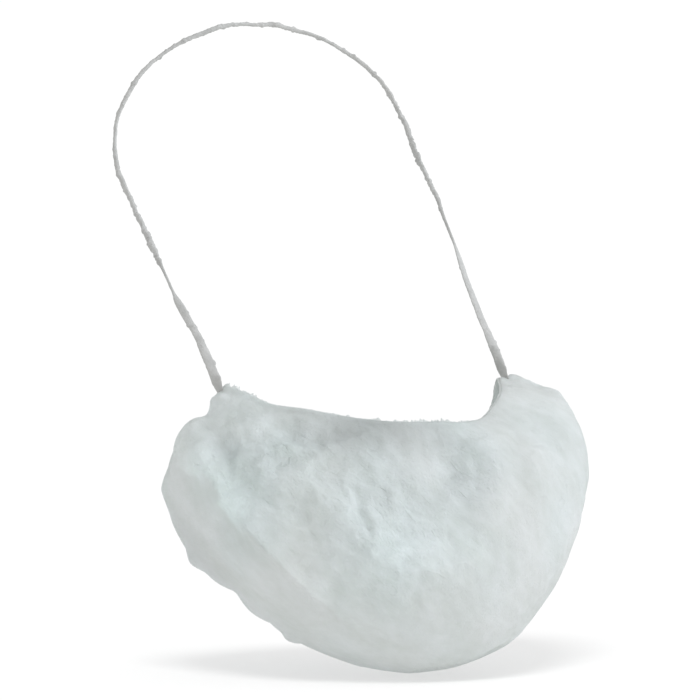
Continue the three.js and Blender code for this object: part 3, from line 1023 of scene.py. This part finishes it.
def cloth_material(name, piece, shade, light, translucency, bond, crinkle):
    """Spunbond cloth: cloudy where its fibres lie thicker, with drawn-out fibres and bond points,
    and crinkled where the cloth is crumpled."""
    tree = new_material(piece, name)
    place = add_node(tree, "TexCoord").outputs["Object"]
    crumpled_here = add_node(tree, "Attribute", attribute_name="crumpled").outputs["Fac"]
    clouds = noise_node(tree, place, **CLOUDS)
    wisps = noise_node(tree, place, **WISPS)
    crossing = noise_node(tree, place, **FIBRES, along=ACROSS)
    web = mixed(tree, "ADD", noise_node(tree, place, **FIBRES), crossing)
    spots = add_node(tree, "TexVoronoi", {"Vector": place, **BONDS}).outputs["Distance"]
    bonds = mixed(tree, "MULTIPLY", mixed(tree, "SUBTRACT", BOND_SIZE, spots, True), bond)
    thick = weighted(tree, (clouds, CLOUD_SHARE), (wisps, 1 - CLOUD_SHARE))
    streaks = streak_node(tree, place)
    color = cloth_color(tree, place, thick, streaks, crumpled_here, shade, light)

    relief = weighted(tree, (web, 1), (wisps, WISP_RELIEF), (bonds, -1))
    if crinkle:
        folds = [(crease_node(tree, place, row["scale"], row["drawn_out"]), row["height"])
                 for row in CREASES]
        creases = weighted(tree, (streaks, STREAK_RELIEF), *folds)
        height = mixed(tree, "MULTIPLY", crumpled_here, crinkle)
        relief = weighted(tree, (relief, 1), (creases, height))
    bump = add_node(tree, "Bump", {"Height": relief, "Strength": 1, "Distance": BUMP_METRES})

    normal = bump.outputs["Normal"]
    glow = add_node(tree, "BsdfTranslucent", {"Color": color, "Normal": normal})
    body = add_node(tree, "BsdfPrincipled", {
        "Base Color": color, "Normal": normal,
        "Roughness": mixed(tree, "ADD", mixed(tree, "MULTIPLY", web, FIBRE_ROUGHNESS), ROUGHNESS),
        "Sheen Weight": 0.15, "Sheen Roughness": 0.5, "Specular IOR Level": 0.3,
    })
    through = weighted(tree, (thick, -THICK_DIMS), (bonds, 1))
    through = mixed(tree, "ADD", through, translucency + THICK_DIMS / 2)
    mix = add_node(tree, "MixShader", {"Fac": through, 1: body.outputs[0], 2: glow.outputs[0]})
    add_node(tree, "OutputMaterial", {"Surface": mix.outputs[0]})


for row in MATERIALS:
    cloth_material(**row)


# ---- Floor and light

FLOOR_SIZE = 40           # metres from the middle to an edge, past what any view shows
FLOOR_GAP = 0.0005        # how far it lies below the cover, also in metres
FLOOR_GREY = 0.35
FLOOR_SHOWN = 1.03        # how bright the camera sees the floor where no shadow lies
FLOOR_BOUNCE = 0.98       # how bright the cover sees it
STUDIO_WHITE = 0.80       # light from all round
STUDIO_SIDE = 0.28        # how much of it moves to the lit side
STUDIO_TOWARD = dict(right=1, front=0.35, up=0.2)
LAMPS = [
    dict(name="overhead", strength=2.1, softness=22, right=0.0, front=0.75, up=1, color=(1, 1, 1)),
    dict(name="side", strength=1.25, softness=60, right=1, front=0.05, up=0.6, color=(0.94, 0.98, 1.06)),
]


def toward(right, front, up):
    """A direction told from the camera: to its right, toward it and up."""
    return Vector(unit(view_right * right + unit(view_back * (1, 1, 0)) * front + np.array([0, 0, up])))


def cast_or_seen(tree, cast, seen):
    """One value for the light that is cast on the cover and another for what the camera sees."""
    is_seen = add_node(tree, "LightPath").outputs["Is Camera Ray"]
    return add_node(tree, "Mix", {"Factor": is_seen, "A": cast, "B": seen}).outputs["Result"]


def make_floor():
    """A plain floor that glows a little, so that it is white apart from the pouch's shadow."""
    mesh = bpy.data.meshes.new("floor")
    z = cad_box[0].z - FLOOR_GAP
    corners = [(x * FLOOR_SIZE, y * FLOOR_SIZE, z) for x, y in ((-1, -1), (1, -1), (1, 1), (-1, 1))]
    mesh.from_pydata(corners, [], [(0, 1, 2, 3)])
    floor = new_object("floor", mesh)
    tree = new_material(floor, "floor")
    overhead = LAMPS[0]
    sky = STUDIO_WHITE * (1 + STUDIO_SIDE * 2 / 3 * toward(**STUDIO_TOWARD).z)
    sun = overhead["strength"] / math.pi * toward(overhead["right"], overhead["front"], overhead["up"]).z
    lit = FLOOR_GREY * (sky + sun)
    strength = cast_or_seen(tree, FLOOR_BOUNCE - lit, FLOOR_SHOWN - lit)
    diffuse = add_node(tree, "BsdfDiffuse", {"Color": (FLOOR_GREY, FLOOR_GREY, FLOOR_GREY, 1)})
    lift = add_node(tree, "Emission", {"Strength": strength})
    both = add_node(tree, "AddShader", {0: diffuse.outputs[0], 1: lift.outputs[0]})
    add_node(tree, "OutputMaterial", {"Surface": both.outputs[0]})
    return floor


def make_lamp(name, strength, softness, right, front, up, color):
    data = bpy.data.lights.new(name, "SUN")
    data.color = color
    data.energy = strength
    data.angle = math.radians(softness)
    light = new_object(name, data)
    light.rotation_euler = toward(right, front, up).to_track_quat("Z", "Y").to_euler()
    return light


def make_light():
    """A white studio, a little brighter on one side. The overhead lamp lights only the floor, where
    it draws the shadow, and the side lamp only the cover."""
    world = bpy.data.worlds.new("studio")
    world.use_nodes = True
    tree = world.node_tree
    way = add_node(tree, "TexCoord").outputs["Generated"]
    facing = add_node(tree, "VectorMath", {0: way, 1: toward(**STUDIO_TOWARD)}, operation="DOT_PRODUCT")
    shaded = add_node(tree, "MapRange", {
        "Value": facing.outputs["Value"], "From Min": -1,
        "To Min": STUDIO_WHITE * (1 - STUDIO_SIDE), "To Max": STUDIO_WHITE * (1 + STUDIO_SIDE),
    })
    strength = cast_or_seen(tree, shaded.outputs["Result"], FLOOR_SHOWN)
    background = tree.nodes["Background"]
    background.inputs["Color"].default_value = (1, 1, 1, 1)
    tree.links.new(strength, background.inputs["Strength"])
    bpy.context.scene.world = world
    for lamp, lit in zip(LAMPS, ([floor], [pouch, hem, loop])):
        light = make_lamp(**lamp)
        group = bpy.data.collections.new("lit_by_" + lamp["name"])
        for piece in lit:
            group.objects.link(piece)
        light.light_linking.receiver_collection = group
    bpy.context.scene.view_settings.view_transform = "Standard"


floor = make_floor()
make_light()
